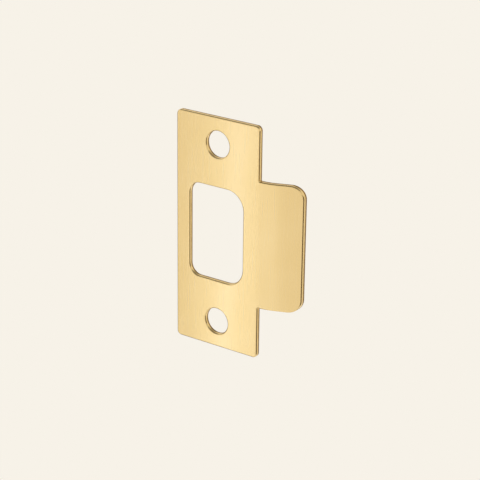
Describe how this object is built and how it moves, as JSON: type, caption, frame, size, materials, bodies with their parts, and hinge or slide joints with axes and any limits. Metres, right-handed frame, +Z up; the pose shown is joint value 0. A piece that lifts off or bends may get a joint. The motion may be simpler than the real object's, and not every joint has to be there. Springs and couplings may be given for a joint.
{
  "type": "door strike plate",
  "caption": "Upright brass T-strike plate with screw holes, a rounded latch opening and a lip that bends back to guide the latch bolt.",
  "frame": {"origin": "midway between the screw holes, on the back face that lies against the jamb", "axes": "+Z up along the plate's long side, -Y out of the front face towards the door, +X towards the lip"},
  "size_m": [0.0411, 0.0055, 0.0698],
  "materials": {
    "brass": "satin polished and lacquered"
  },
  "bodies": {
    "root": {"strike_plate": "brass"}
  },
  "joints": []
}
